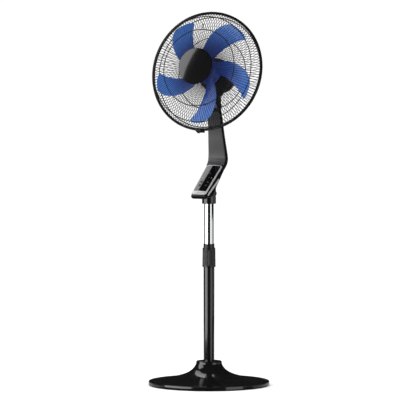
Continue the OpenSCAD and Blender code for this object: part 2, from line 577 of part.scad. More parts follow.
// a point of the blade: share t of the span, share u of the chord, side 1 in front and -1 behind
function blade_point(t, u, side) = let (
        corner = 9 * pow(max(t - 0.8, 0) / 0.2, 2) * pow(abs(2 * u - 1), 4),
        r = lerp(blade_hub_r - 3, blade_r, t) - corner,
        a = blade_edge(t, u), d = blade_depth(t, u) + side * 1.1 * (1 - 0.5 * pow(2 * u - 1, 4)))
    [r * cos(a), r * sin(a), d];
module blade() {
    nt = 12;
    nu = 8;
    grid = [for (side = [1, -1]) for (i = [0:nt]) for (k = [0:nu]) blade_point(i / nt, k / nu, side)];
    function at(s, i, k) = s * (nt + 1) * (nu + 1) + i * (nu + 1) + k;
    faces = concat(
        [for (i = [0:nt - 1]) for (k = [0:nu - 1]) each [[at(0, i, k), at(0, i, k + 1), at(0, i + 1, k + 1)],
            [at(0, i, k), at(0, i + 1, k + 1), at(0, i + 1, k)]]],
        [for (i = [0:nt - 1]) for (k = [0:nu - 1]) each [[at(1, i, k), at(1, i + 1, k + 1), at(1, i, k + 1)],
            [at(1, i, k), at(1, i + 1, k), at(1, i + 1, k + 1)]]],
        [for (i = [0:nt - 1]) each [[at(0, i, 0), at(0, i + 1, 0), at(1, i + 1, 0)],
            [at(0, i, 0), at(1, i + 1, 0), at(1, i, 0)], [at(0, i, nu), at(1, i + 1, nu), at(0, i + 1, nu)],
            [at(0, i, nu), at(1, i, nu), at(1, i + 1, nu)]]],
        [for (k = [0:nu - 1]) each [[at(0, 0, k), at(1, 0, k), at(1, 0, k + 1)], [at(0, 0, k), at(1, 0, k + 1),
            at(0, 0, k + 1)], [at(0, nt, k), at(1, nt, k + 1), at(1, nt, k)],
            [at(0, nt, k), at(0, nt, k + 1), at(1, nt, k + 1)]]]);
    polyhedron(grid, faces);
}
module fan_blades() color([0.15, 0.3, 0.75]) on_shaft() {
    difference() {
        union() {
            rotate_extrude($fn = 96) polygon([[0, hub_front], [30, hub_front], [40, hub_front - 3],
                [blade_hub_r, hub_front - 10], [blade_hub_r, hub_rear], [blade_hub_r - 2.2, hub_rear],
                [blade_hub_r - 2.2, hub_front - 11], [38.5, hub_front - 5.5], [30, hub_front - 3], [0, hub_front - 3]]);
            translate([0, 0, -32]) cylinder(r = 10, h = hub_front + 30);
            around(6) rotate([90, 0, 0]) translate([0, 0, -1]) linear_extrude(2) polygon([[8, 0], [blade_hub_r - 1, 0],
                [blade_hub_r - 1, hub_front - 10], [40, hub_front - 4], [30, hub_front - 1.5], [8, hub_front - 1.5]]);
        }
        translate([0, 0, -40]) cylinder(r = shaft_r + fit, h = 120);
        translate([-15, -1.6, -33]) cube([30, 3.2, 5.7]);
    }
    around(blade_count, 51.8) blade();
}
module blade_nut() color([0.05, 0.05, 0.05]) on_shaft() difference() {
    union() {
        translate([0, 0, hub_front]) cylinder(r = 13, h = 10);
        translate([0, 0, hub_front + 10]) cylinder(r1 = 13, r2 = 8, h = 5);
    }
    translate([0, 0, hub_front - 2]) cylinder(r = shaft_r + fit, h = 10.1);
}

base_cover();
base_weight();
base_feet();
base_bolt();
tube_plug();
outer_tube();
clamp_sleeve();
clamp_collar();
inner_tube();
tube_glide();
arm_shell();
neck_cover();
panel_bezel();
control_panel();
side_trim();
control_board();
key_switches();
indicator_lights();
key_power();
key_speed();
key_mode();
key_timer();
key_swing();
cord_gland();
cover_screws();
socket_screw();
tilt_bolt();
tilt_nut();
tilt_knuckle();
swing_gear();
swing_washer();
swing_screw();
swing_pinion();
swing_motor();
motor_bracket();
front_end_bell();
rear_end_bell();
front_bearing();
rear_bearing();
stator_core();
stator_coils();
motor_bolts();
rotor_core();
motor_shaft();
drive_pin();
motor_front_cover();
motor_rear_cover();
housing_screws();
capacitor();
rear_guard();
guard_nut();
fan_blades();
blade_nut();
front_guard();
guard_ring();
badge();
guard_clip();
clip_bracket();
top_hook();
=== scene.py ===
"""Looks of the pedestal fan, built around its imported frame: +Z up, the fan blows towards -Y, metres in
the scene.

Shapes are worked out in millimetres as whole arrays and are scaled once, when a piece's mesh is made."""

import json
import math

import bmesh
import bpy
import numpy as np
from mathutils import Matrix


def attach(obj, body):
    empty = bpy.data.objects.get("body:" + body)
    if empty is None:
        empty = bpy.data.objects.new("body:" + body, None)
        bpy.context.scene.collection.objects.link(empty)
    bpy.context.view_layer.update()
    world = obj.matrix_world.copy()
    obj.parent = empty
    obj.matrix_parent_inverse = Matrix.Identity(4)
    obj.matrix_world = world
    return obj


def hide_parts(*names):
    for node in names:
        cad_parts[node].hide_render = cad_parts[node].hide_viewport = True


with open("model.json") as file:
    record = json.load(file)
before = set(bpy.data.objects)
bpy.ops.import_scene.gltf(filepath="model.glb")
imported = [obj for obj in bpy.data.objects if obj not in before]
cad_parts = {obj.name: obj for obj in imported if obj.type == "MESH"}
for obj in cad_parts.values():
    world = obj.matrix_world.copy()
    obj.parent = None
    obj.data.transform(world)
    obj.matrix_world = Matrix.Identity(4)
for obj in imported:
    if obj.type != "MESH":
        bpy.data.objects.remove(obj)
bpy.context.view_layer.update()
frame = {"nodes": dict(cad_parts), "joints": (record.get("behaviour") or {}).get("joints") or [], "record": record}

MM = 0.001
TURN = 2 * math.pi

# ---------------------------------------------------------------------- camera and studio

VIEW_SIDE = math.radians(26)       # how far round to the fan's left the camera stands
CAMERA_HEIGHT = 1.95
CAMERA_DISTANCE = 18.2
IMAGE_COLUMNS = 400
COLUMN_WIDTH = 3.66 * MM           # what one image column covers at the fan
AIM_HEIGHT = 0.682
AIM_SIDE = -0.033
FAN_MIDDLE = np.array([0, 0, 0.7])


def camera():
    """A long lens, far off and a little above, aimed at the middle of the fan."""
    data = bpy.data.cameras.new("camera")
    data.sensor_width = 36
    data.lens = CAMERA_DISTANCE / (IMAGE_COLUMNS * COLUMN_WIDTH) * data.sensor_width
    data.clip_end = 200
    spot = bpy.data.objects.new("camera", data)
    bpy.context.scene.collection.objects.link(spot)
    side, away = math.cos(VIEW_SIDE), math.sin(VIEW_SIDE)
    rise = CAMERA_HEIGHT - AIM_HEIGHT
    spot.location = (AIM_SIDE * side + CAMERA_DISTANCE * away,
                     AIM_SIDE * away - CAMERA_DISTANCE * side,
                     CAMERA_HEIGHT)
    spot.rotation_euler = (math.pi / 2 - math.atan2(rise, CAMERA_DISTANCE), 0, VIEW_SIDE)
    bpy.context.scene.camera = spot


def soft_box(name, bearing, rise, wide, tall, glow, distance=4.0):
    """A glowing panel that faces the fan: its bearing is counted from the camera towards the picture's
    right, its rise from the horizon, and its width and height are the angles it fills as seen from the
    fan, all in degrees."""
    bearing, rise = math.radians(bearing) + VIEW_SIDE, math.radians(rise)
    out = np.array([math.sin(bearing) * math.cos(rise), -math.cos(bearing) * math.cos(rise), math.sin(rise)])
    data = bpy.data.lights.new(name, "AREA")
    data.shape = "RECTANGLE"
    data.size = 2 * distance * math.tan(math.radians(wide / 2))
    data.size_y = 2 * distance * math.tan(math.radians(tall / 2))
    data.energy = glow * math.pi * data.size * data.size_y
    light = bpy.data.objects.new(name, data)
    bpy.context.scene.collection.objects.link(light)
    light.location = FAN_MIDDLE + out * distance
    light.rotation_euler = (math.pi / 2 - rise, 0, bearing)
    light.visible_camera = False


def studio():
    """A wide pale floor, soft boxes on both sides of the camera, and a pale room that glossy surfaces
    see dark."""
    soft_box("left_box", -62, -4, 58, 22, 3.2)
    soft_box("left_high_box", -84, 28, 40, 34, 2.6)
    soft_box("right_box", 49, -4, 34, 30, 1.2)
    soft_box("right_side_card", 92, -7, 52, 8, 0.45)
    soft_box("left_low_card", -135, -16, 76, 6, 0.4)
    soft_box("right_low_card", 130, -16, 76, 6, 0.4)
    soft_box("back_left_card", -158, 48, 40, 22, 1.5)
    points = np.array([[-1, -1, 0], [1, -1, 0], [1, 1, 0], [-1, 1, 0]]) * 60.0
    mesh = bpy.data.meshes.new("floor")
    mesh.from_pydata(points.tolist(), [], [[0, 1, 2, 3]])
    mesh.materials.append(floor_finish())
    floor = bpy.data.objects.new("floor", mesh)
    bpy.context.scene.collection.objects.link(floor)
    floor.visible_glossy = False
    world = bpy.data.worlds.new("studio")
    world.use_nodes = True
    bpy.context.scene.world = world
    room = Desk(world.node_tree)
    background = world.node_tree.nodes["Background"]
    seen = room.node("ShaderNodeLightPath", None, (), "Is Camera Ray")
    lighting = room.node("ShaderNodeLightPath", None, (), "Is Diffuse Ray")
    room.plug(background.inputs["Color"], (1, 1, 1))
    room.plug(background.inputs["Strength"], seen * 0.99 + lighting * 1.15 + 0.012)
    bpy.context.scene.view_settings.view_transform = "Standard"


# ---------------------------------------------------------------------- shader writing

class Signal:
    """One socket of a node tree; arithmetic on it adds Math nodes."""

    def __init__(self, desk, socket):
        self.desk, self.socket = desk, socket

    def math(self, operation, *others):
        return self.desk.node("ShaderNodeMath", {"operation": operation}, [self, *others])

    def __add__(self, other):
        return self.math("ADD", other)

    def __sub__(self, other):
        return self.math("SUBTRACT", other)

    def __mul__(self, other):
        return self.math("MULTIPLY", other)

    def __truediv__(self, other):
        return self.math("DIVIDE", other)

    def __rsub__(self, other):
        return self.desk.node("ShaderNodeMath", {"operation": "SUBTRACT"}, [other, self])

    __radd__ = __add__
    __rmul__ = __mul__

    def sine(self):
        return self.math("SINE")

    def above(self, edge, softness):
        """0 below the edge, 1 above it, with a smooth rise over the softness."""
        stretch = {"Value": self, "From Min": edge - softness / 2, "From Max": edge + softness / 2}
        return self.desk.node("ShaderNodeMapRange", {"interpolation_type": "SMOOTHSTEP"}, stretch)


class Desk:
    """A node tree that is being written, with one method that adds any node."""

    def __init__(self, tree):
        self.tree = tree

    def node(self, kind, settings=None, inputs=(), output=0):
        """Adds a node: its settings first (a ramp's stops among them), then its inputs by name or by
        order."""
        made = self.tree.nodes.new(kind)
        for key, value in (settings or {}).items():
            if key == "stops":
                self.fill_ramp(made.color_ramp, value)
            else:
                setattr(made, key, value)
        pairs = inputs.items() if isinstance(inputs, dict) else enumerate(inputs)
        for key, value in pairs:
            self.plug(made.inputs[key], value)
        return Signal(self, made.outputs[output])

    def plug(self, socket, value):
        if isinstance(value, Signal):
            self.tree.links.new(value.socket, socket)
        elif socket.type == "RGBA":
            socket.default_value = (*value[:3], 1)
        else:
            socket.default_value = value

    @staticmethod
    def fill_ramp(ramp, stops):
        while len(ramp.elements) < len(stops):
            ramp.elements.new(0.5)
        for element, (place, colour) in zip(ramp.elements, stops):
            element.position = place
            element.color = (*colour, 1)

    def noise(self, place, scale, detail=2, stretch=None):
        if stretch:
            place = self.node("ShaderNodeVectorMath", {"operation": "MULTIPLY"}, [place, stretch])
        return self.node("ShaderNodeTexNoise", None, {"Vector": place, "Scale": scale, "Detail": detail})

    def blend(self, share, first, second):
        """A colour between two, by share."""
        return self.node("ShaderNodeMix", {"data_type": "RGBA"}, {0: share, 6: first, 7: second}, 2)


class Finish(Desk):
    """One material with a Principled shader; fixed values are set on the shader's own sockets."""

    def __init__(self, name, **fixed):
        self.material = bpy.data.materials.new(name)
        self.material.use_nodes = True
        super().__init__(self.material.node_tree)
        self.shader = self.tree.nodes["Principled BSDF"]
        for key, value in fixed.items():
            self.plug(self.shader.inputs[key.replace("_", " ").title().replace("Ior", "IOR")], value)
        self.place = self.node("ShaderNodeTexCoord", None, (), "Object")

    def drive(self, socket, value):
        self.plug(self.shader.inputs[socket], value)

    def bump(self, height, depth, strength=0.5):
        """Raises the surface by height times depth."""
        self.drive("Normal", self.node("ShaderNodeBump", None,
                                       {"Height": height, "Distance": depth, "Strength": strength}))


def shade(colour, factor):
    return tuple(c * factor for c in colour)


def moulded(name, colour, rough, grain=700, grain_depth=0.00004, coat=0.0, spread=0.12):
    """Moulded plastic: faint flow mottling in the colour, fingermark-sized changes of gloss, a fine
    surface grain."""
    f = Finish(name, coat_weight=coat, coat_roughness=0.03)
    mottle = f.noise(f.place, 9, 3)
    wear = f.noise(f.place, 55, 4)
    f.drive("Base Color", f.blend(mottle, shade(colour, 0.82), shade(colour, 1.22)))
    f.drive("Roughness", rough + (wear - 0.5) * spread)
    f.bump(f.noise(f.place, grain, 2), grain_depth)
    return f.material


def painted(name, colour, rough, metallic=0.0, peel=260, peel_depth=0.00005, coat=0.4):
    """Sprayed or powder coated metal: a soft orange peel under a clear gloss, with specks of dust in
    the film."""
    f = Finish(name, coat_weight=coat, coat_roughness=0.05, metallic=metallic)
    specks = f.noise(f.place, 1400, 1)
    cloud = f.noise(f.place, 14, 3)
    f.drive("Base Color", f.blend(cloud, shade(colour, 0.88), shade(colour, 1.14)))
    f.drive("Roughness", rough + (specks - 0.5) * 0.12)
    f.bump(f.noise(f.place, peel, 2), peel_depth)
    return f.material


def plated(name, colour, rough, stretch, scale=60, spread=0.1):
    """Plated or ground metal: fine lines that run one way, seen in the gloss and as very shallow
    scratches."""
    f = Finish(name, metallic=1.0)
    lines = f.noise(f.place, scale, 4, stretch)
    cloud = f.noise(f.place, 20, 2)
    f.drive("Base Color", f.blend(cloud, shade(colour, 0.93), colour))
    f.drive("Roughness", rough + (lines - 0.5) * spread)
    f.bump(lines, 0.00001, 0.3)
    return f.material


def cast(name, colour, rough, scale=320, depth=0.0003, metallic=0.0):
    """Rough cast metal: pits and a grainy skin, darker in the hollows."""
    f = Finish(name, metallic=metallic)
    pits = f.noise(f.place, scale, 5)
    f.drive("Base Color", f.blend(pits, shade(colour, 0.6), shade(colour, 1.3)))
    f.drive("Roughness", rough + (pits - 0.5) * 0.3)
    f.bump(pits, depth)
    return f.material


def layered(name, dark, light, axis, pitch, metallic=0.8):
    """Stacked sheets or wound wire: even stripes across an axis, with a little unevenness from turn to
    turn."""
    f = Finish(name, metallic=metallic)
    along = f.node("ShaderNodeVectorMath", {"operation": "DOT_PRODUCT"}, [f.place, tuple(axis)], "Value")
    wave = (along * (TURN / pitch) + f.noise(f.place, 30, 2) * 1.5).sine() * 0.5 + 0.5
    f.drive("Base Color", f.blend(wave, dark, light))
    f.drive("Roughness", 0.5 - wave * 0.15)
    f.bump(wave, 0.0002)
    return f.material


def floor_finish():
    """Pale matt floor with a faint unevenness."""
    f = Finish("floor_pale")
    f.drive("Base Color", f.blend(f.noise(f.place, 2, 2), (0.95, 0.95, 0.95), (0.975, 0.975, 0.975)))
    f.drive("Roughness", 0.85 + f.noise(f.place, 8, 2) * 0.1)
    return f.material


def board_finish():
    """Circuit board: green mask with copper runs showing through in a squared pattern."""
    f = Finish("board_green", coat_weight=0.3, coat_roughness=0.1)
    cells = f.node("ShaderNodeTexVoronoi", {"distance": "CHEBYCHEV", "feature": "DISTANCE_TO_EDGE"},
                   {"Vector": f.place, "Scale": 260, "Randomness": 0.7})
    runs = cells.above(0.08, 0.03)
    f.drive("Base Color", f.blend(runs, (0.05, 0.20, 0.06), (0.012, 0.09, 0.03)))
    f.drive("Roughness", 0.35 + runs * 0.1)
    f.bump(1 - runs, 0.00005)
    return f.material


def blade_finish(name, axis_point):
    """Tinted moulded plastic: deeper towards the hub, lighter towards the tips, with faint flow lines."""
    f = Finish(name, coat_weight=0.25, coat_roughness=0.08)
    reach = f.node("ShaderNodeVectorMath", {"operation": "DISTANCE"}, [f.place, tuple(axis_point)], "Value")
    share = (reach / 0.197).above(0.62, 0.6)
    flow = f.noise(f.place, 26, 3)
    deep = f.blend(flow, (0.012, 0.042, 0.27), (0.018, 0.06, 0.33))
    light = f.blend(flow, (0.036, 0.135, 0.47), (0.05, 0.17, 0.54))
    f.drive("Base Color", f.blend(share, deep, light))
    f.drive("Roughness", 0.3 + (f.noise(f.place, 70, 3) - 0.5) * 0.14)
    f.bump(f.noise(f.place, 500, 2), 0.00004)
    return f.material


# ---------------------------------------------------------------------- shape making

class Shells:
    """Grids of points gathered into one mesh, in millimetres."""

    def __init__(self):
        self.points, self.faces, self.count = [], [], 0

    def grid(self, points, wrap=(False, True), caps=True):
        """Quads between the neighbours of a grid; wrap joins its last row or column to its first, and
        caps fills the two end rows of a tube."""
        rows, cols = points.shape[:2]
        self.points.append(points.reshape(-1, 3))
        number = self.count + np.arange(rows * cols).reshape(rows, cols)
        if wrap[0]:
            number = np.concatenate([number, number[:1]])
        if wrap[1]:
            number = np.concatenate([number, number[:, :1]], axis=1)
        quads = np.stack([number[:-1, :-1], number[:-1, 1:], number[1:, 1:], number[1:, :-1]], axis=-1)
        self.faces += quads.reshape(-1, 4).tolist()
        if caps and not wrap[0]:
            self.faces.append(number[0, :cols].tolist())
            self.faces.append(number[-1, :cols].tolist())
        self.count += rows * cols
        return self

    def piece(self, name, body, slot, material, replaces=(), place=None, sharp=38):
        """Makes the mesh, in metres and in place, merges doubles, turns faces outwards and marks the
        sharp edges."""
        points = np.concatenate(self.points) * MM
        if place:
            points = place(points)
        mesh = bpy.data.meshes.new(name)
        mesh.from_pydata(points.tolist(), [], self.faces)
        work = bmesh.new()
        work.from_mesh(mesh)
        bmesh.ops.remove_doubles(work, verts=work.verts, dist=2e-7)
        bmesh.ops.dissolve_degenerate(work, edges=work.edges, dist=1e-8)
        bmesh.ops.recalc_face_normals(work, faces=work.faces)
        for edge in work.edges:
            edge.smooth = len(edge.link_faces) == 2 and edge.calc_face_angle(0) < math.radians(sharp)
        for face in work.faces:
            face.smooth = True
        work.to_mesh(mesh)
        work.free()
        made = bpy.data.objects.new(name, mesh)
        bpy.context.scene.collection.objects.link(made)
        mesh.materials.append(material)
        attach(made, body)
        if replaces:
            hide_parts(*replaces)
        return made


def spline(points, steps):
    """A Catmull-Rom curve: each stretch is the cubic whose end slopes are half the chord between its
    neighbours."""
    p = np.asarray(points, float)
    first, last = p[:1], p[-1:]
    a, b = np.concatenate([first, p[:-2]]), p[:-1]
    c, d = p[1:], np.concatenate([p[2:], last])
    t = (np.arange(steps) / steps)[None, :, None]
    a, b, c, d = (q[:, None, :] for q in (a, b, c, d))
    curve = 0.5 * (2 * b + (c - a) * t + (2 * a - 5 * b + 4 * c - d) * t ** 2
                   + (3 * b - a - 3 * c + d) * t ** 3)
    return np.concatenate([curve.reshape(-1, p.shape[1]), last])


def turned(profile, segments=128, start=0.0):
    """A profile of radius and height carried round the axis: (r cos a, r sin a, h)."""
    p = np.asarray(profile, float)
    a = start + np.arange(segments) / segments * TURN
    return np.stack([p[:, :1] * np.cos(a), p[:, :1] * np.sin(a), p[:, 1:] + 0 * a], axis=-1)


def unit(v):
    return v / np.linalg.norm(v, axis=-1, keepdims=True)


def tube(path, radius, sides=8, closed=False, across=(0, 0, 1)):
    """A ring of the given radius in the plane square to the path at each of its points."""
    p = np.asarray(path, float)
    run = np.roll(p, -1, 0) - np.roll(p, 1, 0) if closed else np.gradient(p, axis=0)
    side = unit(np.cross(unit(run), np.broadcast_to(np.asarray(across, float), p.shape)))
    other = np.cross(side, unit(run))
    a = np.arange(sides) / sides * TURN
    return (p[:, None] + radius * (np.cos(a)[None, :, None] * side[:, None]
                                   + np.sin(a)[None, :, None] * other[:, None]))


def round_about(points, count, start=0.0):
    """Copies of the points turned about the Z axis by equal steps."""
    a = start + np.arange(count) / count * TURN
    c, s = np.cos(a), np.sin(a)
    zero, one = 0 * a, 0 * a + 1
    rows = [[c, -s, zero], [s, c, zero], [zero, zero, one]]
    turn = np.stack([np.stack(row, -1) for row in rows], 1)
    return np.einsum("kij,...j->k...i", turn, points)


def circle_path(r, d, count=192):
    a = np.arange(count) / count * TURN
    return np.stack([r * np.cos(a), r * np.sin(a), 0 * a + d], -1)


def softened(profile, radius, steps=4):
    """Rounds every corner of a closed profile: each corner becomes an arc-like curve that starts and
    ends at most the radius from it."""
    p = np.asarray(profile, float)
    out = []
    for before, corner, after in zip(np.roll(p, 1, 0), p, np.roll(p, -1, 0)):
        for_in, for_out = before - corner, after - corner
        cut_in = min(radius, np.linalg.norm(for_in) * 0.45)
        cut_out = min(radius, np.linalg.norm(for_out) * 0.45)
        a = corner + unit(for_in) * cut_in
        b = corner + unit(for_out) * cut_out
        t = (np.arange(steps + 1) / steps)[:, None]
        out.append((1 - t) ** 2 * a + 2 * t * (1 - t) * corner + t ** 2 * b)
    return np.concatenate(out)


# ---------------------------------------------------------------------- the fan's own places

joints = {j["name"]: j for j in frame["joints"]}
RIGHT = np.array([1.0, 0.0, 0.0])
FORWARD = np.array(joints["blade_spin"]["axis"], float)
SHAFT = np.array(joints["blade_spin"]["pos_m"], float)
UPWARD = np.cross(FORWARD, RIGHT)
PANEL_OUT = -np.array(joints["power_press"]["axis"], float)
PANEL_UP = np.cross(PANEL_OUT, RIGHT)
PANEL_CENTRE = np.array([0, -0.0215, 0.7585])


def on_shaft(p):
    """X right, Y up and Z forward along the shaft, from the guard's parting plane."""
    return SHAFT + p[:, :1] * RIGHT + p[:, 1:2] * UPWARD + p[:, 2:3] * FORWARD


def on_panel(p):
    """X right, Y up the slope and Z out of the control panel."""
    return PANEL_CENTRE + p[:, :1] * RIGHT + p[:, 1:2] * PANEL_UP + p[:, 2:3] * PANEL_OUT


# ---------------------------------------------------------------------- finishes

JET = (0.0045, 0.0045, 0.005)
finishes = {
    "black_gloss": moulded("black_gloss", JET, 0.13, grain=300, grain_depth=0.00002, coat=0.6, spread=0.06),
    "black_paint": painted("black_paint", JET, 0.16, coat=0.6),
    "iron": cast("iron", (0.16, 0.16, 0.165), 0.7),
    "rubber": moulded("rubber", (0.022, 0.022, 0.022), 0.82, grain=900, grain_depth=0.0001),
    "steel": plated("steel", (0.62, 0.63, 0.65), 0.28, (1, 1, 12)),
    "chrome": plated("chrome", (0.86, 0.87, 0.89), 0.055, (3, 3, 0.4), spread=0.04),
    "black_matte": moulded("black_matte", (0.008, 0.008, 0.0085), 0.22, grain=850, grain_depth=0.00006),
    "grey_satin": moulded("grey_satin", (0.044, 0.044, 0.045), 0.34, grain=1100, grain_depth=0.00006,
                          spread=0.08),
    "silver": painted("silver", (0.58, 0.585, 0.595), 0.36, metallic=0.5, peel=900, peel_depth=0.00002),
    "lens_black": moulded("lens_black", (0.002, 0.002, 0.0024), 0.06, grain=60, grain_depth=0.00001,
                          coat=1.0, spread=0.04),
    "board_green": board_finish(),
    "light_white": moulded("light_white", (0.75, 0.82, 0.9), 0.35),
    "acetal": moulded("acetal", (0.74, 0.73, 0.68), 0.4),
    "die_cast": cast("die_cast", (0.55, 0.56, 0.58), 0.42, scale=700, depth=0.00012, metallic=0.9),
    "bronze": cast("bronze", (0.42, 0.27, 0.1), 0.4, scale=1500, depth=0.00005, metallic=0.9),
    "laminations": layered("laminations", (0.06, 0.06, 0.065), (0.3, 0.3, 0.32), FORWARD, 0.0012),
    "winding": layered("winding", (0.22, 0.07, 0.02), (0.62, 0.26, 0.1), UPWARD, 0.0014),
    "wire_black": painted("wire_black", (0.010, 0.010, 0.011), 0.5, peel=500, coat=0.1),
    "blade_blue": blade_finish("blade_blue", SHAFT),
}


def dress_frame():
    """Gives every CAD node that stays its slot's finish."""
    for part in frame["record"]["subparts"]:
        for slot in frame["nodes"][part["node"]].material_slots:
            slot.material = finishes[part["material_slot"]]


# ---------------------------------------------------------------------- base and column

BASE_R, RIM_H, NECK_R, BASE_TOP = 222, 16, 47.5, 90
BELL_RISE, BELL_R = 20, 40         # height gained for each e-fold of the distance from the circle of BELL_R
TUBE_R, TUBE_FOOT, TUBE_TOP = 20, 6.5, 436
CHROME_R, CHROME_FOOT, CHROME_TOP = 17.25, 345, 719
SOCKET_R, SOCKET_FOOT, SOCKET_TOP = 25.5, 669, 751
WALL = 2.4


def closed_ring(profile, rounding, segments=160):
    """A closed cross-section of radius and height, its corners rounded, turned about the axis."""
    return turned(softened(profile, rounding), segments)


def base_dome():
    """A flat rim wall, then the bell: height = rim + 20 ln(182 / (r - 40)), up to the straight neck and
    its lid."""
    share = np.linspace(1, 0, 48) ** 2.2
    r = NECK_R + (BASE_R - 3 - NECK_R) * share
    bell = RIM_H + BELL_RISE * np.log((BASE_R - BELL_R) / (r - BELL_R))
    rim = softened([[BASE_R - 14, 8], [BASE_R - 3.5, 1], [BASE_R, 1.4], [BASE_R, RIM_H - 0.2],
                    [BASE_R - 16, RIM_H + 1.9]], 2.2)
    rim = rim[(rim[:, 0] > BASE_R - 2.9)]
    lid = spline([[NECK_R, BASE_TOP - 7], [NECK_R - 0.5, BASE_TOP - 3], [NECK_R - 2.6, BASE_TOP - 0.7],
                  [NECK_R - 6, BASE_TOP], [TUBE_R + 2.5, BASE_TOP - 0.4], [TUBE_R + 0.2, BASE_TOP - 2]], 5)
    outer = np.concatenate([rim, np.stack([r, bell], -1), lid])
    inner = np.stack([r[::-1] - WALL, bell[::-1] - WALL], -1)
    inner = np.concatenate([[[TUBE_R + 0.2, BASE_TOP - 6], [NECK_R - WALL, BASE_TOP - 6]], inner,
                            [[BASE_R - WALL, RIM_H - WALL], [BASE_R - WALL, 1.4]]])
    shell = Shells().grid(turned(np.concatenate([outer, inner]), 192), wrap=(True, True))
    shell.piece("base_dome", "stand", "black_gloss", finishes["black_gloss"], ["base_cover"])


def column_tubes():
    """Both tubes as turned walls with rolled ends."""
    for name, body, slot, node, r, wall, foot, top, rounding in [
            ("lower_tube", "stand", "black_paint", "outer_tube", TUBE_R, 1.5, TUBE_FOOT, TUBE_TOP, 0.6),
            ("chrome_tube", "mast", "chrome", "inner_tube", CHROME_R, 1.2, CHROME_FOOT, CHROME_TOP, 0.5)]:
        wall_ring = closed_ring([[r - wall, foot], [r, foot], [r, top], [r - wall, top]], rounding, 96)
        Shells().grid(wall_ring, wrap=(True, True)).piece(name, body, slot, finishes[slot], [node])


def collar_grip():
    """The clamp's nut: a slim cone whose wall dips in 24 rounded flutes between a plain foot and a
    plain top bead."""
    foot, top, flutes = 436.5, 506, 24
    z = np.concatenate([[foot], np.linspace(foot + 0.6, foot + 3.4, 4), np.linspace(foot + 4, top - 5, 30),
                        np.linspace(top - 4, top - 1.2, 4), [top - 0.3, top]])
    cone = 24.3 - 0.9 * (z - foot) / (top - foot)
    cone = cone - 1.1 * np.clip((z - (top - 1.6)) / 1.6, 0, 1) ** 2
    cone = cone - 0.6 * np.clip((foot + 0.6 - z) / 0.6, 0, 1) ** 2
    fade = np.clip((z - foot - 4) / 4, 0, 1) * np.clip((top - 5 - z) / 4, 0, 1)
    fade = np.sqrt(fade * (2 - fade))
    a = np.arange(flutes * 12) / (flutes * 12) * TURN
    dip = (0.5 + 0.5 * np.cos(a * flutes)) ** 1.5 * 1.0
    r = cone[:, None] - fade[:, None] * dip[None]
    outer = np.stack([r * np.cos(a), r * np.sin(a), z[:, None] + 0 * r], -1)
    inner = turned([[TUBE_R + 0.1, top], [TUBE_R + 0.1, foot]], flutes * 12)
    shell = Shells().grid(np.concatenate([outer, inner]), wrap=(True, True))
    shell.piece("collar_grip", "collar", "black_matte", finishes["black_matte"], ["clamp_collar"])


# ---------------------------------------------------------------------- arm and panel

FRONT_LINE = [[45, 806], [57, 817], [63, 831], [62, 850], [55, 890], [48, 932], [36, 982], [27.5, 1022]]
BACK_LINE = [[60, 785], [85, 806], [93, 826], [91, 850], [82.5, 890], [74.5, 932], [66.5, 985], [60.5, 1022]]
TILT_Y, TILT_Z, EAR_R, SLOT_HALF = 44, 1047, 17, 8.5
BACK_ROUND = 6.0
CHEEK_FOOT = 30                    # how far the fork's cheeks reach below the tilt bolt
COVER_SHARE = 0.14                 # of the neck's depth, taken by its front cover
COVER_TOP = 0.92                   # share of the neck's length at which the cover ends
# the control head's sections in the panel's frame: place up the slope, top, bottom
HEAD_SECTIONS = [[-90.5, -7, -14], [-89.4, -4.6, -18.5], [-86, -4, -21.5], [-76, -4, -27], [-62, -4, -38],
                 [-46, -4, -47.2], [-20, -4, -44], [5.6, -4, -37.8], [45, -4, -31.5], [74, -4, -26.5]]


def arm_half_width(z):
    """The arm widens evenly up to its bend and then narrows evenly up to the fork."""
    return np.where(z < 828, 28.5 + 6.5 * (z - 690) / 138, 35 - 15 * (z - 828) / 222)


def panel_to_side(p):
    """Places up the slope and out of the panel, as Y and Z in millimetres."""
    centre, up, out = (v[1:] for v in (PANEL_CENTRE / MM, PANEL_UP, PANEL_OUT))
    return centre + p[..., :1] * up + p[..., 1:2] * out


def sections(front, back, front_radius, back_radius, narrow=0.0, wall=None, steps=6):
    """One closed section a row, between a front and a back point in the Y-Z plane and as wide as the
    arm is there: a rectangle with quarter circles at its corners, or, with a wall, a channel that is
    open in front."""
    depth = np.linalg.norm(back - front, axis=1)[:, None]
    quarter = np.linspace(0, math.pi / 2, steps + 1)[None]

    def corner(number, radius, inset):
        a = quarter + number * math.pi / 2
        behind = number < 2
        centre = depth - inset - radius if behind else radius + 0 * depth
        share = (centre + radius * np.sin(a)) / depth
        spot = front[:, None] + share[..., None] * (back - front)[:, None]
        side = 1 if number in (0, 3) else -1
        x = side * (arm_half_width(spot[..., 1]) - narrow - inset - radius) + radius * np.cos(a)
        return np.concatenate([x[..., None], spot], -1)

    if wall is None:
        rounds = [(0, back_radius), (1, back_radius), (2, front_radius), (3, front_radius)]
        return np.concatenate([corner(k, r, 0.0) for k, r in rounds], axis=1)
    edge = 0.35
    outer = [corner(3, edge, 0.0)[:, steps // 2:], corner(0, back_radius, 0.0), corner(1, back_radius, 0.0),
             corner(2, edge, 0.0)[:, :steps // 2 + 1]]
    inner = [corner(2, edge, wall)[:, :1], corner(1, back_radius - wall, wall)[:, ::-1],
             corner(0, back_radius - wall, wall)[:, ::-1], corner(3, edge, wall)[:, -1:]]
    return np.concatenate(outer + inner, axis=1)


